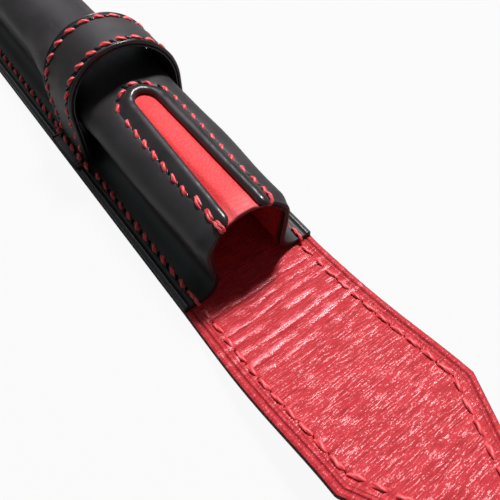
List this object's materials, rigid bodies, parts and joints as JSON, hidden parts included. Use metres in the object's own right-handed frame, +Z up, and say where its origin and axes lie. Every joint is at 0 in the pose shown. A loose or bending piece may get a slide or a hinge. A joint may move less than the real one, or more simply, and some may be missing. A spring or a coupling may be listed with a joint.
{
  "type": "single pen sleeve",
  "caption": "Moulded leather sleeve for one pen, with a sewn lining, an open window, a long flap and a keeper band that holds the flap shut.",
  "frame": {"origin": "middle of the mouth's line, on the face that lies on the table", "axes": "+Y along the sleeve from the mouth to the closed end, +Z up from the table through the barrel, +X to the right when looking from the flap towards the closed end"},
  "size_m": [0.038, 0.2676, 0.0355],
  "materials": {
    "outer_leather": "satin",
    "lining_leather": "gloss",
    "thread": "matte"
  },
  "bodies": {
    "sleeve": {"back_leather": "outer_leather", "back_lining": "lining_leather", "front_leather": "outer_leather", "front_lining": "lining_leather", "keeper_band": "outer_leather", "keeper_lining": "outer_leather", "seam_thread": "thread", "window_thread": "thread", "keeper_thread_front": "thread", "keeper_thread_rear": "thread"},
    "flap_bridge": {"bridge_leather": "outer_leather", "bridge_lining": "lining_leather", "bridge_thread": "thread"},
    "flap_tongue": {"tongue_leather": "outer_leather", "tongue_lining": "lining_leather", "tongue_thread": "thread"}
  },
  "joints": [
    {"name": "mouth_bend", "type": "hinge", "parent": "sleeve", "child": "flap_bridge", "pos_m": [0, -0.0035, 0.0016], "axis": [-1, 0, 0], "range_deg": [-10, 80]},
    {"name": "crown_bend", "type": "hinge", "parent": "flap_bridge", "child": "flap_tongue", "pos_m": [0, -0.02753, 0.00584], "axis": [-1, 0, 0], "range_deg": [0, 90]}
  ]
}
